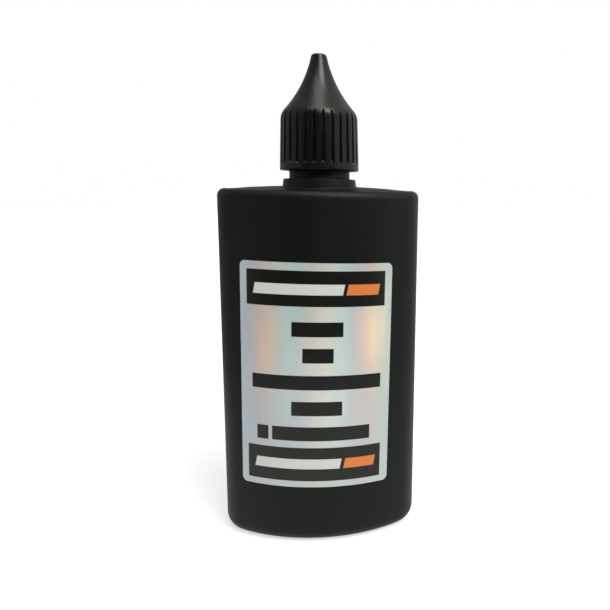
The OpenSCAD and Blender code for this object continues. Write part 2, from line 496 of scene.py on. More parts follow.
def cap_outside():
    section = bend((RIM_R - RIM_EDGE, RIM_Z + RIM_EDGE), RIM_EDGE, 270, 360, 6)
    section += straight((RIM_R - 0.02, RIM_Z + 0.7), (SKIRT_R, RIM_Z + SKIRT_H), 44)
    section += bend(crown_c, CROWN_R, 2, meet_turn, 26)
    section += bend(spire_c, spire_r, 180 + meet_turn, 180 + TIP_SLANT, 34)[1:]
    section += bend(tip_c, TIP_ROUND, TIP_SLANT, 90, 9)[1:]
    return section + [(tip_c[0] * 0.5, CAP_Z)]


def cap_inside():
    inner_r = spire_r + SPIRE_WALL
    low_turn = math.degrees(math.asin((spire_c[1] - HOLLOW_FOOT) / inner_r))
    top_turn = math.degrees(math.asin((spire_c[1] - HOLLOW_Z) / inner_r))
    pin_z, seat_edge = HOLLOW_Z - PIN_L, CAP_BORE_R - BORE_CHAMFER
    section = [(PIN_R / 2, pin_z), (PIN_R - 0.08, pin_z), (PIN_R, pin_z + 0.15),
               (PIN_R, HOLLOW_Z)]
    section += bend(spire_c, inner_r, 180 + top_turn, 180 + low_turn, 24)
    section += [(seat_edge - SEAT_W, section[-1][1] - 0.3), (seat_edge - SEAT_W, SEAT_Z),
                (seat_edge, SEAT_Z), (CAP_BORE_R, SEAT_Z - BORE_CHAMFER)]
    return section + [(CAP_BORE_R, RIM_Z + 0.4), (CAP_BORE_R + 0.35, RIM_Z)]


print("points in the cap's section:", len(cap_inside() + cap_outside()))

# %% [markdown]
# ## Node trees as sums
#
# Both the ribs and the finishes are node trees. Two helpers keep them short: one adds a node and
# wires its inputs, and one writes a single sum, where a value may be a number or another output.

# %% Helpers for node trees
def wire(tree, value, socket):
    if isinstance(value, bpy.types.NodeSocket):
        tree.links.new(value, socket)
    else:
        socket.default_value = value


def add(tree, kind, inputs=None, **settings):
    node = tree.nodes.new(kind)
    for key, value in settings.items():
        setattr(node, key, value)
    for key, value in (inputs or {}).items():
        wire(tree, value, node.inputs[key])
    return node


def calc(tree, operation, *values):
    node = add(tree, "ShaderNodeMath", operation=operation)
    for value, socket in zip(values, node.inputs):
        wire(tree, value, socket)
    return node.outputs[0]


# %% Helpers for geometry trees
def geometry_tree(name, sizes):
    tree = bpy.data.node_groups.new(name, "GeometryNodeTree")
    tree.interface.new_socket("Geometry", in_out="OUTPUT", socket_type="NodeSocketGeometry")
    tree.interface.new_socket("Geometry", in_out="INPUT", socket_type="NodeSocketGeometry")
    for label in sizes:
        tree.interface.new_socket(label, in_out="INPUT", socket_type="NodeSocketFloat")
    tree.interface.new_socket("Finish", in_out="INPUT", socket_type="NodeSocketMaterial")
    return tree, tree.nodes.new("NodeGroupInput").outputs


def finish_tree(tree, geometry, finish):
    real = add(tree, "GeometryNodeRealizeInstances", {"Geometry": geometry})
    painted = add(tree, "GeometryNodeSetMaterial",
                  {"Geometry": real.outputs[0], "Material": finish})
    out = tree.nodes.new("NodeGroupOutput")
    tree.links.new(painted.outputs[0], out.inputs["Geometry"])


def grown(tree, obj, sizes, finish, name, sharp=SHARP):
    """The tree's result on obj as a plain mesh, its sizes set by the sockets' identifiers."""
    modifier = obj.modifiers.new(tree.name, "NODES")
    modifier.node_group = tree
    for item in tree.interface.items_tree:
        if item.in_out == "INPUT" and item.name in sizes:
            modifier[item.identifier] = float(sizes[item.name])
        if item.in_out == "INPUT" and item.name == "Finish":
            modifier[item.identifier] = finish
    graph = bpy.context.evaluated_depsgraph_get()
    mesh = bpy.data.meshes.new_from_object(obj.evaluated_get(graph))
    obj.modifiers.clear()
    bpy.data.objects.remove(obj)
    mesh.name = name
    shade(mesh, sharp)
    print(name, "has", len(mesh.polygons), "faces")
    return link(mesh, name)


# %% [markdown]
# ## Plastics
#
# The body is blown from polyethylene, which has a soft, slightly waxy shine and a skin that is
# never quite flat. The cap is moulded in polypropylene against polished steel, so it is a little
# glossier. The shine on both is a touch green. Noise on Object coordinates stays in its place on
# the piece, and its scale counts the waves in a metre.

# %% Helpers for plastics
SHINE_TINT = (0.94, 1.0, 0.91, 1)


def plastic(name, colour, rough, gloss):
    material = bpy.data.materials.new(name)
    material.use_nodes = True
    tree = material.node_tree
    shader = tree.nodes["Principled BSDF"]
    shader.inputs["Base Color"].default_value = (*colour, 1)
    shader.inputs["Roughness"].default_value = rough
    shader.inputs["Specular IOR Level"].default_value = gloss
    shader.inputs["Specular Tint"].default_value = SHINE_TINT
    return material, tree, shader


def object_place(tree):
    return tree.nodes.new("ShaderNodeTexCoord").outputs["Object"]


def grain(tree, scale, stretch=(1, 1, 1), detail=3.0):
    spread = add(tree, "ShaderNodeMapping", {"Vector": object_place(tree), "Scale": stretch})
    return add(tree, "ShaderNodeTexNoise", {"Vector": spread.outputs[0], "Scale": scale,
                                            "Detail": detail}).outputs["Fac"]


def emboss(tree, shader, height, depth):
    bump = add(tree, "ShaderNodeBump", {"Height": height, "Distance": depth, "Strength": 1.0})
    tree.links.new(bump.outputs[0], shader.inputs["Normal"])


# %% [markdown]
# ## What the mould leaves
#
# Three marks make the body's skin: a fine grain, long faint streaks along the height that also
# change its roughness, and a hair-thin parting line. The two halves of the mould meet at the
# ends and under the base, so the line is drawn only there. The cap needs only its grain.

# %% Finishes of the body and the cap
BODY_BLACK = (0.0042, 0.0051, 0.0038)
BODY_ROUGH = 0.34
BODY_GLOSS = 0.22
BODY_DEPTH = 0.03 * MM
FINE_GRAIN = 1500
FINE_SHARE = 0.35
STREAKS = 260
STREAK_STRETCH = (1, 1, 0.06)
STREAK_ROUGH = 0.16
SEAM_SHARE = 1.5
SEAM_HALF = 0.09 * MM
SEAM_FROM = 18.5 * MM
UNDER_BASE = 2.0 * MM
CAP_BLACK = (0.0030, 0.0039, 0.0025)
CAP_ROUGH = 0.29
CAP_GLOSS = 0.42
CAP_GRAIN = 900
CAP_DEPTH = 0.012 * MM


def parting_line(tree):
    x, y, z = add(tree, "ShaderNodeSeparateXYZ", {"Vector": object_place(tree)}).outputs
    seam = calc(tree, "LESS_THAN", calc(tree, "ABSOLUTE", y), SEAM_HALF)
    on_end = calc(tree, "GREATER_THAN", calc(tree, "ABSOLUTE", x), SEAM_FROM)
    under = calc(tree, "LESS_THAN", z, UNDER_BASE)
    return calc(tree, "MULTIPLY", seam, calc(tree, "MAXIMUM", on_end, under))


def bottle_finish():
    material, tree, shader = plastic("bottle_plastic", BODY_BLACK, BODY_ROUGH, BODY_GLOSS)
    fine = grain(tree, FINE_GRAIN)
    streaks = grain(tree, STREAKS, STREAK_STRETCH, 2.0)
    both = calc(tree, "ADD", calc(tree, "MULTIPLY", fine, FINE_SHARE), streaks)
    height = calc(tree, "ADD", both, calc(tree, "MULTIPLY", parting_line(tree), SEAM_SHARE))
    emboss(tree, shader, height, BODY_DEPTH)
    rough = calc(tree, "MULTIPLY_ADD", streaks, STREAK_ROUGH, BODY_ROUGH)
    tree.links.new(rough, shader.inputs["Roughness"])
    return material


def cap_finish():
    material, tree, shader = plastic("cap_plastic", CAP_BLACK, CAP_ROUGH, CAP_GLOSS)
    emboss(tree, shader, grain(tree, CAP_GRAIN, detail=4.0), CAP_DEPTH)
    return material


body_paint = bottle_finish()
cap_paint = cap_finish()
bottle_skin.data.materials.append(body_paint)
print("finishes:", body_paint.name, cap_paint.name)

# %% [markdown]
# ## Milky plastic
#
# The dropper is polyethylene without its black. Light goes in and comes out again a millimetre or
# two away, which is what makes it look milky and not painted. Subsurface does that, and red light
# gets furthest.

# %% Finish of the dropper
MILKY = (0.60, 0.61, 0.58)
MILKY_ROUGH = 0.4
MILKY_GLOSS = 0.4
MILKY_WEIGHT = 0.4
MILKY_REACH = 1.5 * MM
RED_FURTHEST = (1, 0.95, 0.85)


def dropper_finish():
    material, tree, shader = plastic("dropper_plastic", MILKY, MILKY_ROUGH, MILKY_GLOSS)
    shader.inputs["Subsurface Weight"].default_value = MILKY_WEIGHT
    shader.inputs["Subsurface Radius"].default_value = RED_FURTHEST
    shader.inputs["Subsurface Scale"].default_value = MILKY_REACH
    return material


dropper.data.materials.append(dropper_finish())
print("finish:", dropper.data.materials[0].name)

# %% [markdown]
# ## Ribs by a rule
#
# Twenty-eight grooves run up the cap's skirt, and their floor is upright while the skirt leans
# in. So each groove gets shallower towards the top and runs out in a scallop where the rounded
# shoulder falls below the floor. The tree finds each point's angle, how far it is from the
# nearest groove, and takes the smaller of the skirt's radius and the groove's. A soft minimum
# rounds the edges, as a polished mould does. Changing the number of ribs changes them all.

# %% The rib tree
RIB_SIZES = ("Ribs", "Groove Width", "Groove Depth", "Floor Radius", "Band Top", "Run Out",
             "Soft Edge")
OUTSIDE_ONLY = 0.2 * MM


def from_groove(tree, given, x, y, radius):
    """How far a point is from the middle of the nearest groove, along the skirt."""
    share = calc(tree, "MULTIPLY", calc(tree, "DIVIDE", calc(tree, "ARCTAN2", y, x), 2 * math.pi),
                 given["Ribs"])
    off = calc(tree, "ABSOLUTE", calc(tree, "SUBTRACT", calc(tree, "FRACT", share), 0.5))
    period = calc(tree, "DIVIDE", calc(tree, "MULTIPLY", radius, 2 * math.pi), given["Ribs"])
    return calc(tree, "MULTIPLY", off, period)


def groove_radius(tree, given, beside, z):
    """The groove's floor, its slanting flanks, and the ramp that ends it above the rim."""
    flat_half = calc(tree, "DIVIDE", given["Groove Width"], 4.0)
    flank = calc(tree, "MAXIMUM", calc(tree, "SUBTRACT", beside, flat_half), 0.0)
    slope = calc(tree, "DIVIDE", given["Groove Depth"], flat_half)
    low = calc(tree, "MAXIMUM", calc(tree, "SUBTRACT", given["Band Top"], z), 0.0)
    ramp = calc(tree, "MULTIPLY", low, calc(tree, "DIVIDE", MM, given["Run Out"]))
    return calc(tree, "ADD", calc(tree, "ADD", given["Floor Radius"], ramp),
                calc(tree, "MULTIPLY", flank, slope))


def rib_tree():
    tree, given = geometry_tree("cap_ribs", RIB_SIZES)
    place = tree.nodes.new("GeometryNodeInputPosition").outputs[0]
    x, y, z = add(tree, "ShaderNodeSeparateXYZ", {"Vector": place}).outputs
    radius = calc(tree, "SQRT", calc(tree, "ADD", calc(tree, "MULTIPLY", x, x),
                                     calc(tree, "MULTIPLY", y, y)))
    groove = groove_radius(tree, given, from_groove(tree, given, x, y, radius), z)
    cut = calc(tree, "SMOOTH_MIN", radius, groove, given["Soft Edge"])
    scale = calc(tree, "DIVIDE", cut, radius)
    moved = add(tree, "ShaderNodeCombineXYZ", {"X": calc(tree, "MULTIPLY", x, scale),
                                               "Y": calc(tree, "MULTIPLY", y, scale), "Z": z})
    outside = calc(tree, "GREATER_THAN", radius,
                   calc(tree, "SUBTRACT", given["Floor Radius"], OUTSIDE_ONLY))
    shifted = add(tree, "GeometryNodeSetPosition", {
        "Geometry": given["Geometry"], "Selection": outside, "Position": moved.outputs[0]})
    finish_tree(tree, shifted.outputs[0], given["Finish"])
    return tree


# %% The ribbed cap
RIBS = 28
GROOVE_W = 0.75
GROOVE_DEPTH = 0.5
SOFT_EDGE = 0.1
RUN_OUT = 0.45
BAND_H = 1.5
OVER_GROOVE = 1.25


def rib_turns(per_rib=16, in_groove=10):
    """Angles for the rings: more of them over each groove than over the land beside it."""
    share = GROOVE_W * OVER_GROOVE / (2 * math.pi * SKIRT_R / RIBS)
    groove = 0.5 + np.linspace(-0.5, 0.5, in_groove) * share
    land = np.linspace(groove[-1], 1 + groove[0], per_rib - in_groove + 2)[1:-1]
    one = np.r_[groove, land]
    return np.concatenate([(one + i) * 2 * math.pi / RIBS for i in range(RIBS)])


def ribbed_cap():
    plain = skin("cap_plain", turned(cap_inside() + cap_outside(), rib_turns()))
    sizes = {"Ribs": RIBS, "Groove Width": GROOVE_W * MM, "Groove Depth": GROOVE_DEPTH * MM,
             "Floor Radius": (SKIRT_R - GROOVE_DEPTH) * MM,
             "Band Top": (RIM_Z + BAND_H + RUN_OUT) * MM,
             "Run Out": RUN_OUT * MM, "Soft Edge": SOFT_EDGE * MM}
    return grown(rib_tree(), plain, sizes, cap_paint, "cap_skin", math.radians(50))


cap_skin = ribbed_cap()

# %% [markdown]
# ## Threads along a spiral
#
# The neck carries a raised thread and the cap a matching one inside. A thread is one profile
# carried along a spiral: wide at its root, narrow at its crest, and fading into the wall at both
# ends so that the cap can start to turn. The cap's thread is the same tree turned inside out,
# half a turn ahead, so that it lies in the gaps of the other. The spiral is reversed, which makes
# the thread right-handed, as nearly all are.

# %% The thread tree
THREAD_SIZES = ("Turns", "Pitch", "Start", "Root Radius", "Depth", "Root Width", "Crest Width",
                "Outward")
THREAD_FADE = 0.09
THREAD_END = 0.06


def thread_profile(tree, given):
    """A trapezium lying beside the spiral: outward for the neck, inward for the cap."""
    shape = add(tree, "GeometryNodeCurvePrimitiveQuadrilateral", {
        "Bottom Width": given["Root Width"], "Top Width": given["Crest Width"],
        "Offset": 0.0, "Height": given["Depth"]}, mode="TRAPEZOID")
    side = calc(tree, "MULTIPLY", given["Outward"], -math.pi / 2)
    turn = add(tree, "ShaderNodeCombineXYZ", {"Z": side})
    half = calc(tree, "MULTIPLY", calc(tree, "MULTIPLY", given["Depth"], 0.5), given["Outward"])
    out = add(tree, "ShaderNodeCombineXYZ", {"X": half})
    return add(tree, "GeometryNodeTransform", {
        "Geometry": shape.outputs[0], "Rotation": turn.outputs[0],
        "Translation": out.outputs[0]}).outputs[0]


def thread_tree():
    tree, given = geometry_tree("thread", THREAD_SIZES)
    rise = calc(tree, "MULTIPLY", given["Turns"], given["Pitch"])
    path = add(tree, "GeometryNodeCurveSpiral", {
        "Resolution": 90, "Rotations": given["Turns"], "Start Radius": given["Root Radius"],
        "End Radius": given["Root Radius"], "Height": rise, "Reverse": True})
    up = add(tree, "ShaderNodeCombineXYZ", {"Z": given["Start"]})
    raised = add(tree, "GeometryNodeTransform", {"Geometry": path.outputs[0],
                                                 "Translation": up.outputs[0]})
    level = add(tree, "GeometryNodeSetCurveNormal", {"Curve": raised.outputs[0]}, mode="Z_UP")
    along = tree.nodes.new("GeometryNodeSplineParameter").outputs["Factor"]
    to_end = calc(tree, "MINIMUM", along, calc(tree, "SUBTRACT", 1.0, along))
    fade = add(tree, "ShaderNodeMapRange", {
        "Value": to_end, "From Min": 0.0, "From Max": THREAD_FADE,
        "To Min": THREAD_END, "To Max": 1.0}, interpolation_type="SMOOTHSTEP")
    wound = add(tree, "GeometryNodeCurveToMesh", {
        "Curve": level.outputs[0], "Profile Curve": thread_profile(tree, given),
        "Scale": fade.outputs[0], "Fill Caps": True})
    finish_tree(tree, wound.outputs[0], given["Finish"])
    return tree


# %% The two threads
PITCH = 2.8
THREAD_OUT = 0.67
THREAD_SUNK = 0.1
THREAD_ROOT = 1.15
THREAD_CREST = 0.5
THREAD_START = COLLAR_Z + 4.2
NECK_TURNS = 2.4
CAP_TURNS = 2.2

thread_rule = thread_tree()


def thread(name, start, turns, root, outward, finish):
    seed = link(bpy.data.meshes.new("seed"), "seed")
    sizes = {"Turns": turns, "Pitch": PITCH * MM, "Start": start * MM, "Root Radius": root * MM,
             "Depth": (THREAD_OUT + THREAD_SUNK) * MM, "Root Width": THREAD_ROOT * MM,
             "Crest Width": THREAD_CREST * MM, "Outward": outward}
    return grown(thread_rule, seed, sizes, finish, name)


neck_thread = thread("neck_thread", THREAD_START, NECK_TURNS, NECK_R - THREAD_SUNK, 1,
                     body_paint)
cap_thread = thread("cap_thread", THREAD_START + PITCH / 2, CAP_TURNS, CAP_BORE_R + THREAD_SUNK,
                    -1, cap_paint)
print("the two crests pass each other by",
      round(NECK_R + THREAD_OUT - (CAP_BORE_R - THREAD_OUT), 2), "mm")

# %% [markdown]
# ## The label film
#
# The label is a thin film with rounded corners, wrapped round the front's long arc. It sits a
# little to the left of the middle and is turned by under a degree, as labels put on by machine
# often are. A cut-out plane with a Shrinkwrap would stretch, so each point is rolled onto the arc
# instead, which keeps its length. Each point also keeps its place on the flat film, in
# millimetres, as its texture place, and the print is laid out on that.

# %% The flat film and where it lies
FILM_W = 40.7
FILM_H = 60.8
FILM_CORNER = 1.5
FILM_TURN = math.radians(0.86)
FILM_SHIFT = -1.2
FILM_GLUE = 0.03
FILM_T = 0.12
film_z = (label_low.z + label_high.z) / 2 / MM


def film_rows():
    """The rows' heights on the film, and half the width that the corners leave to each."""
    corner = FILM_CORNER * (1 - np.cos(np.linspace(0, math.pi / 2, 8)))
    middle = np.linspace(FILM_CORNER, FILM_H - FILM_CORNER, 60)[1:-1]
    heights = np.r_[corner[1:], middle, FILM_H - corner[::-1][:-1]] - FILM_H / 2
    into = np.maximum(np.abs(heights) - (FILM_H / 2 - FILM_CORNER), 0)
    rounded = np.sqrt(np.maximum(FILM_CORNER ** 2 - into ** 2, 0))
    return heights, FILM_W / 2 - FILM_CORNER + rounded


def on_front(u, v, lift):
    across = u * math.cos(FILM_TURN) + v * math.sin(FILM_TURN) + FILM_SHIFT
    up = v * math.cos(FILM_TURN) - u * math.sin(FILM_TURN)
    turn = across / LONG_R
    radius = LONG_R + lift
    return np.c_[radius * np.sin(turn), LONG_Y - radius * np.cos(turn), film_z + up]


print("the film is rolled over", round(math.degrees(FILM_W / LONG_R), 1), "degrees")


# %% The wrapped film
def film_faces(rows, columns):
    """Front and back as grids, and a strip round the rim that joins them."""
    def at(i, j, side=0):
        return side * rows * columns + i * columns + j

    faces = []
    for i in range(rows - 1):
        for j in range(columns - 1):
            faces.append((at(i, j), at(i, j + 1), at(i + 1, j + 1), at(i + 1, j)))
            faces.append((at(i, j, 1), at(i + 1, j, 1), at(i + 1, j + 1, 1), at(i, j + 1, 1)))
    rim = [(0, j) for j in range(columns)]
    rim += [(i, columns - 1) for i in range(1, rows)]
    rim += [(rows - 1, j) for j in range(columns - 2, -1, -1)]
    rim += [(i, 0) for i in range(rows - 2, 0, -1)]
    for a, b in zip(rim, rim[1:] + rim[:1]):
        faces.append((at(*a, 1), at(*b, 1), at(*b), at(*a)))
    return faces


def wrapped_film(columns=72):
    heights, halves = film_rows()
    u = np.outer(halves, np.linspace(-1, 1, columns)).ravel()
    v = np.repeat(heights, columns)
    points = np.concatenate([on_front(u, v, FILM_GLUE + FILM_T), on_front(u, v, FILM_GLUE)])
    film = solid("label_film", points, film_faces(len(heights), columns), math.radians(40))
    flat = film.data.uv_layers.new(name="film_mm")
    index = np.empty(len(film.data.loops), int)
    film.data.loops.foreach_get("vertex_index", index)
    flat.data.foreach_set("uv", np.tile(np.c_[u, v], (2, 1))[index].ravel())
    return film


label_film = wrapped_film()

# %% [markdown]
# ## Print on the film
#
# The print is only plain fields: a dark bar at the top and at the bottom, each with a slim pale
# strip and an orange one, and five dark rows between them. Each field is a rectangle given by its
# middle and its size on the film, in millimetres. A picture would need a file, and a mask made of
# sums needs none: it is one inside the rectangle and zero outside, and stays sharp at any size.

# %% Print fields
DARK_FIELDS = {
    "top_bar": (-0.05, 23.7, 36.7, 9.25),
    "bottom_bar": (-0.2, -23.9, 36.4, 9.45),
    "row_1": (0.4, 13.1, 13.4, 3.9),
    "row_2": (0.6, 6.1, 8.1, 3.9),
    "row_3": (0.3, -1.2, 34.6, 3.9),
    "row_4": (0.4, -8.3, 13.4, 3.9),
    "row_5_block": (-14.1, -15.3, 3.2, 3.9),
    "row_5": (1.6, -15.3, 26.2, 3.9),
}
PALE_FIELDS = {
    "top_strip": (-4.6, 23.5, 23.4, 2.8),
    "bottom_strip": (-4.6, -23.8, 23.0, 2.8),
}
ORANGE_FIELDS = {
    "top_accent": (12.3, 23.5, 8.6, 2.8),
    "bottom_accent": (12.1, -23.8, 8.4, 2.8),
}
STRIP_SLANT = 0.2
PRINT_SOFT = 0.05


def field(tree, u, v, middle, size, slant):
    lean = calc(tree, "MULTIPLY", calc(tree, "SUBTRACT", v, middle[1]), slant)
    along = calc(tree, "SUBTRACT", calc(tree, "SUBTRACT", u, lean), middle[0])
    across = calc(tree, "ABSOLUTE", along)
    upward = calc(tree, "ABSOLUTE", calc(tree, "SUBTRACT", v, middle[1]))
    inside = calc(tree, "MINIMUM", calc(tree, "SUBTRACT", size[0] / 2, across),
                  calc(tree, "SUBTRACT", size[1] / 2, upward))
    return add(tree, "ShaderNodeMapRange", {"Value": inside, "From Min": -PRINT_SOFT,
                                            "From Max": PRINT_SOFT}).outputs[0]


def printed(tree, u, v, fields, slant=0.0):
    whole = None
    for middle_u, middle_v, wide, tall in fields.values():
        mask = field(tree, u, v, (middle_u, middle_v), (wide, tall), slant)
        whole = mask if whole is None else calc(tree, "MAXIMUM", whole, mask)
    return whole


print("print fields:", len(DARK_FIELDS) + len(PALE_FIELDS) + len(ORANGE_FIELDS))

# %% [markdown]
# ## Painted reflections on the foil
#
# The film is a metallised one that throws pale colours, from peach to mint to blue grey, which
# are reflections of the light. On the real film they shift as it is turned. Here they are painted
# into its colour in fixed places, because a finish must look the same to every camera. Two things
# make them: a few wide soft painted glints, lighter, darker or tinted, over a silver grey, and a
# weak painted tint whose red, green and blue are three waves across the film, each a little behind
# the last. Noise bends them all, so that no edge of them runs straight.

# %% Painted glints and hues
# Painted glints: soft lighter, darker or tinted patches in the foil's colour that stand for its
# reflections.
PAINTED_FOIL_GLINTS = {
    "pale": (2.0, 4.0, 9.0, 26.0, (0.60, 0.63, 0.57)),
    "warm_right": (15.0, 12.0, 4.0, 12.0, (0.78, 0.66, 0.50)),
    "warm_left": (-12.9, 8.0, 2.6, 10.0, (0.60, 0.50, 0.42)),
    "green": (-4.2, 20.0, 3.0, 8.0, (0.43, 0.56, 0.47)),
    "cool": (-14.0, -17.0, 10.0, 11.0, (0.40, 0.43, 0.47)),
}
FOIL_PERIOD = 14.0
FOIL_START = -13.0
FOIL_LAGS = (0.0, -1.9, -2.9)
FOIL_TINT = 0.045
FOIL_TINT_LOW = FOIL_TINT * 0.3
FOIL_FADE = (-30.0, 20.0)


# One soft painted glint: full in its middle, fading to nothing outside.
def painted_glint(tree, u, v, middle, reach):
    du = calc(tree, "DIVIDE", calc(tree, "SUBTRACT", u, middle[0]), reach[0])
    dv = calc(tree, "DIVIDE", calc(tree, "SUBTRACT", v, middle[1]), reach[1])
    far = calc(tree, "ADD", calc(tree, "MULTIPLY", du, du), calc(tree, "MULTIPLY", dv, dv))
    return calc(tree, "EXPONENT", calc(tree, "MULTIPLY", far, -1.0))


def mixed(tree, fac, below, above):
    node = add(tree, "ShaderNodeMix", data_type="RGBA")
    wire(tree, fac, node.inputs["Factor"])
    for key, value in (("A", below), ("B", above)):
        socket = next(s for s in node.inputs if s.name == key and s.type == "RGBA")
        wire(tree, (*value, 1) if isinstance(value, tuple) else value, socket)
    return next(s for s in node.outputs if s.type == "RGBA")


def painted_foil_hues(tree, u, v, colour):
    """Adds painted reflection hues, which go round once in each period and fade towards the
    bottom.
    """
    turn = calc(tree, "MULTIPLY", calc(tree, "SUBTRACT", u, FOIL_START), 2 * math.pi / FOIL_PERIOD)
    fade = add(tree, "ShaderNodeMapRange", {
        "Value": v, "From Min": FOIL_FADE[0], "From Max": FOIL_FADE[1],
        "To Min": FOIL_TINT_LOW, "To Max": FOIL_TINT}).outputs[0]
    hues = [calc(tree, "MULTIPLY", calc(tree, "COSINE", calc(tree, "ADD", turn, lag)), fade)
            for lag in FOIL_LAGS]
    tint = add(tree, "ShaderNodeCombineXYZ", dict(zip("XYZ", hues))).outputs[0]
    return add(tree, "ShaderNodeVectorMath", {0: colour, 1: tint}, operation="ADD").outputs[0]


# %% Finish of the film
SILVER = (0.45, 0.47, 0.46)
FOIL_ROUGH = 0.34
FOIL_GLOSS = 0.5
PRINT_DARK = (0.0036, 0.0040, 0.0032)
PRINT_PALE = (0.5, 0.5, 0.47)
PRINT_ORANGE = (0.55, 0.16, 0.035)
FOIL_METAL = 0.25
FOIL_WANDER = 5.0
WANDER_STRETCH = (1, 0.12, 1)
WANDER_SCALE = 0.32


def bent_across(tree, place, u):
    """The place across the film, pushed to and fro by long streaks of noise."""
    streaked = add(tree, "ShaderNodeMapping", {"Vector": place, "Scale": WANDER_STRETCH})
    streaks = add(tree, "ShaderNodeTexNoise", {
        "Vector": streaked.outputs[0], "Scale": WANDER_SCALE, "Detail": 3.0}).outputs["Fac"]
    wander = calc(tree, "MULTIPLY_ADD", streaks, FOIL_WANDER, -FOIL_WANDER / 2)
    return calc(tree, "ADD", u, wander)


def film_finish():
    material, tree, shader = plastic("label_film", SILVER, FOIL_ROUGH, FOIL_GLOSS)
    place = add(tree, "ShaderNodeUVMap", uv_map="film_mm").outputs[0]
    u, v, _ = add(tree, "ShaderNodeSeparateXYZ", {"Vector": place}).outputs
    bent = bent_across(tree, place, u)
    colour = SILVER
    # The painted glints go over the silver grey.
    for at_u, at_v, wide, tall, tint in PAINTED_FOIL_GLINTS.values():
        colour = mixed(tree, painted_glint(tree, bent, v, (at_u, at_v), (wide, tall)), colour, tint)
    # Painted reflection hues over the painted glints.
    colour = painted_foil_hues(tree, bent, v, colour)
    dark = printed(tree, u, v, DARK_FIELDS)
    pale = printed(tree, u, v, PALE_FIELDS, STRIP_SLANT)
    orange = printed(tree, u, v, ORANGE_FIELDS, STRIP_SLANT)
    for mask, ink in ((dark, PRINT_DARK), (pale, PRINT_PALE), (orange, PRINT_ORANGE)):
        colour = mixed(tree, mask, colour, ink)
    tree.links.new(colour, shader.inputs["Base Color"])
    metal = calc(tree, "MULTIPLY_ADD", dark, -FOIL_METAL, FOIL_METAL)
    tree.links.new(metal, shader.inputs["Metallic"])
    return material


label_film.data.materials.append(film_finish())
print("glows on the foil:", ", ".join(PAINTED_FOIL_GLINTS))

# %% [markdown]
# ## What moves with what
#
# The bottle's skin, its thread, the dropper and the film ride on the bottle. The cap's skin and
# thread ride on the cap, which lifts off. Each skin stands for the solid that it covers.

# %% Bodies and slots
for piece, body, paint_slot, node in (
        (bottle_skin, "bottle", "bottle_plastic", "bottle"),
        (neck_thread, "bottle", "bottle_plastic", None),
        (dropper, "bottle", "dropper_plastic", "dropper_insert"),
        (label_film, "bottle", "label_film", "label"),
        (cap_skin, "cap", "cap_plastic", "cap"),
        (cap_thread, "cap", "cap_plastic", None)):
    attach(piece, body)
    if node:
        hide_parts(node)
print("pieces on their bodies")

# %% [markdown]
# ## The floor
#
# The floor is grey paper to the lamps, so that it takes the bottle's shadow, and it glows for the
# camera, so that it still looks white. Mirrors see only a little of that glow, because a bright
# floor would light up the whole underside of a glossy black bottle. Seen from below it is open,
# so that the base can be looked at.

# %% Floor
FLOOR_GREY = (0.56, 0.56, 0.56, 1)
FLOOR_LIFT = 0.5
FLOOR_MIRROR = 0.08
FLOOR_REACH = 3.0
FLOOR_Z = -0.02 * MM


def floor_finish():
    material = bpy.data.materials.new("floor_white")
    material.use_nodes = True
    tree = material.node_tree
    tree.nodes.clear()
    ray = tree.nodes.new("ShaderNodeLightPath").outputs
    mirrored = calc(tree, "MAXIMUM", ray["Is Glossy Ray"], ray["Is Transmission Ray"])
    strength = calc(tree, "MAXIMUM", calc(tree, "MULTIPLY", ray["Is Camera Ray"], FLOOR_LIFT),
                    calc(tree, "MULTIPLY", mirrored, FLOOR_MIRROR))
    paper = add(tree, "ShaderNodeBsdfDiffuse", {"Color": FLOOR_GREY})
    lift = add(tree, "ShaderNodeEmission", {"Color": (1, 1, 1, 1), "Strength": strength})
    both = add(tree, "ShaderNodeAddShader", {0: paper.outputs[0], 1: lift.outputs[0]})
    below = tree.nodes.new("ShaderNodeNewGeometry").outputs["Backfacing"]
    open_side = tree.nodes.new("ShaderNodeBsdfTransparent")
    sided = add(tree, "ShaderNodeMixShader", {
        0: calc(tree, "MULTIPLY", below, ray["Is Camera Ray"]),
        1: both.outputs[0], 2: open_side.outputs[0]})
    add(tree, "ShaderNodeOutputMaterial", {"Surface": sided.outputs[0]})
    return material


def studio_floor():
    mesh = bpy.data.meshes.new("studio_floor")
    corners = [(-1, -1), (1, -1), (1, 1), (-1, 1)]
    mesh.from_pydata([(x * FLOOR_REACH, y * FLOOR_REACH, FLOOR_Z) for x, y in corners],
                     [], [(0, 1, 2, 3)])
    mesh.materials.append(floor_finish())
    return link(mesh, "studio_floor")


print("the floor reaches", FLOOR_REACH, "m to each side")

# %% [markdown]
# ## Cards
#
# Black plastic shows little but its reflections. In a white room it turns grey and its rims glow,
# so a photographer puts dark cards round it. These stand on a ring, black in front and dim at the
# sides and behind, and only reflections see them: not the camera, not the light on the floor.

# %% Cards round the bottle
CARD_R = 0.15
CARD_FOOT = 0.5 * MM


def card_finish(name, strength):
    material = bpy.data.materials.new(name)
    material.use_nodes = True
    shader = material.node_tree.nodes["Principled BSDF"]
    shader.inputs["Base Color"].default_value = (0, 0, 0, 1)
    shader.inputs["Specular IOR Level"].default_value = 0.0
    shader.inputs["Emission Color"].default_value = (1, 1, 1, 1)
    shader.inputs["Emission Strength"].default_value = strength
    return material


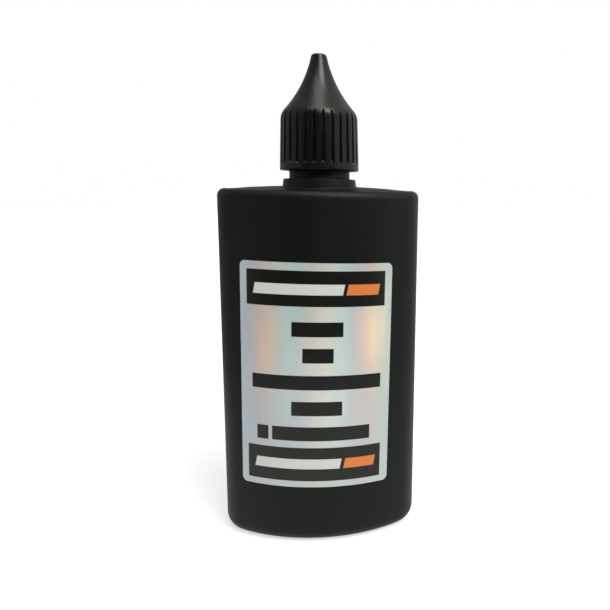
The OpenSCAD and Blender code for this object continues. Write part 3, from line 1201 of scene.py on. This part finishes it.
def card(name, start, end, strength, height=0.9):
    """An upright card from one azimuth to another, in degrees from the front to the right."""
    turns = np.radians(np.linspace(start - 90, end - 90, 25))
    low = [(CARD_R * math.cos(t), CARD_R * math.sin(t), CARD_FOOT) for t in turns]
    high = [(x, y, height) for x, y, _ in low]
    count = len(turns)
    faces = [(i, i + 1, count + i + 1, count + i) for i in range(count - 1)]
    mesh = bpy.data.meshes.new(name)
    mesh.from_pydata(low + high, [], faces)
    mesh.materials.append(card_finish(name, strength))
    obj = link(mesh, name)
    obj.visible_camera = obj.visible_diffuse = False
    obj.visible_shadow = obj.visible_transmission = False
    return obj


# %% [markdown]
# ## Lamps and world
#
# The world is white for the camera and for mirrors, and on the object itself it gives only a part
# of the light. A wide soft lamp stands to the right and in front, a weaker one to the left, and a
# third above. They are suns, so their light is even from the cap to the base, and a wide angle
# makes each as soft as a big lamp box.

# %% Lamps, world and stage
WORLD_LEVEL = 0.3


def lamp(name, azimuth, height, strength, spread):
    """A soft sun: azimuth is counted from the front to the right, in degrees."""
    data = bpy.data.lights.new(name, "SUN")
    data.energy = strength
    data.angle = math.radians(spread)
    obj = link(data, name)
    a, h = math.radians(azimuth), math.radians(height)
    away = Vector((math.sin(a) * math.cos(h), -math.cos(a) * math.cos(h), math.sin(h)))
    obj.rotation_euler = away.to_track_quat("Z", "Y").to_euler()
    return obj


def studio_world():
    world = bpy.data.worlds.new("studio")
    world.use_nodes = True
    tree = world.node_tree
    ray = tree.nodes.new("ShaderNodeLightPath").outputs
    mirrored = calc(tree, "MAXIMUM", ray["Is Glossy Ray"], ray["Is Transmission Ray"])
    seen = calc(tree, "MAXIMUM", ray["Is Camera Ray"], mirrored)
    back = tree.nodes["Background"]
    back.inputs["Color"].default_value = (1, 1, 1, 1)
    level = calc(tree, "MULTIPLY_ADD", seen, 1 - WORLD_LEVEL, WORLD_LEVEL)
    tree.links.new(level, back.inputs["Strength"])
    bpy.context.scene.world = world


studio_world()
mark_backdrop(studio_floor(),
         card("card_front", -52, 6, 0.0, height=0.34),
         card("card_front_right", 6, 48, 0.0, height=0.23),
         card("card_left", -150, -52, 0.30),
         card("card_right", 48, 150, 0.6),
         card("card_back", 150, 210, 0.3),
         lamp("key_lamp", 40, 42, 2.5, 45),
         lamp("fill_lamp", -48, 28, 0.6, 60),
         lamp("top_lamp", 20, 68, 1.5, 60))

# %% [markdown]
# ## The camera
#
# The picture is taken from about 16 cm away, from the height of the shoulder and looking down a
# little. The bottle stands left of the lens's axis, which is a shift of the lens and not a turn
# of the camera, so its upright lines stay nearly upright. The place is in millimetres, and the
# turn to the right, the dip and the roll are in radians.

# %% Camera
CAMERA_AT = (1.982, -162.854, 94.493)
CAMERA_TURN = 0.116
CAMERA_DIP = 0.169
CAMERA_ROLL = 0.016
CAMERA_LENS = 34.629
CAMERA_SHIFT = (-0.1472, -0.0142)


def camera():
    data = bpy.data.cameras.new("camera")
    data.lens = CAMERA_LENS
    data.sensor_width = 36
    data.shift_x, data.shift_y = CAMERA_SHIFT
    data.clip_start = 0.005
    obj = link(data, "camera")
    ahead = Vector((math.sin(CAMERA_TURN) * math.cos(CAMERA_DIP),
                    math.cos(CAMERA_TURN) * math.cos(CAMERA_DIP), -math.sin(CAMERA_DIP)))
    level = Vector((math.cos(CAMERA_TURN), -math.sin(CAMERA_TURN), 0))
    above = level.cross(ahead)
    right = level * math.cos(CAMERA_ROLL) + above * math.sin(CAMERA_ROLL)
    up = above * math.cos(CAMERA_ROLL) - level * math.sin(CAMERA_ROLL)
    turned_to = Matrix((right, up, -ahead)).transposed().to_4x4()
    obj.matrix_world = Matrix.Translation(Vector(CAMERA_AT) * MM) @ turned_to
    bpy.context.scene.camera = obj


camera()
bpy.context.scene.view_settings.view_transform = "Standard"
print("lens", CAMERA_LENS, "mm")

# %% [markdown]
# ## The size, before and after
#
# The dressed bottle's box is held against the solids' box, and how far each side has grown is
# printed. The dressed bottle must not grow past the solids.

# %% Print how far the bottle has grown
new_low, new_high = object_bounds()
grown_by = [round((new - old) / MM, 3)
            for old, new in zip((*cad_low, *cad_high), (*new_low, *new_high))]
print("grown by, in mm:", grown_by)
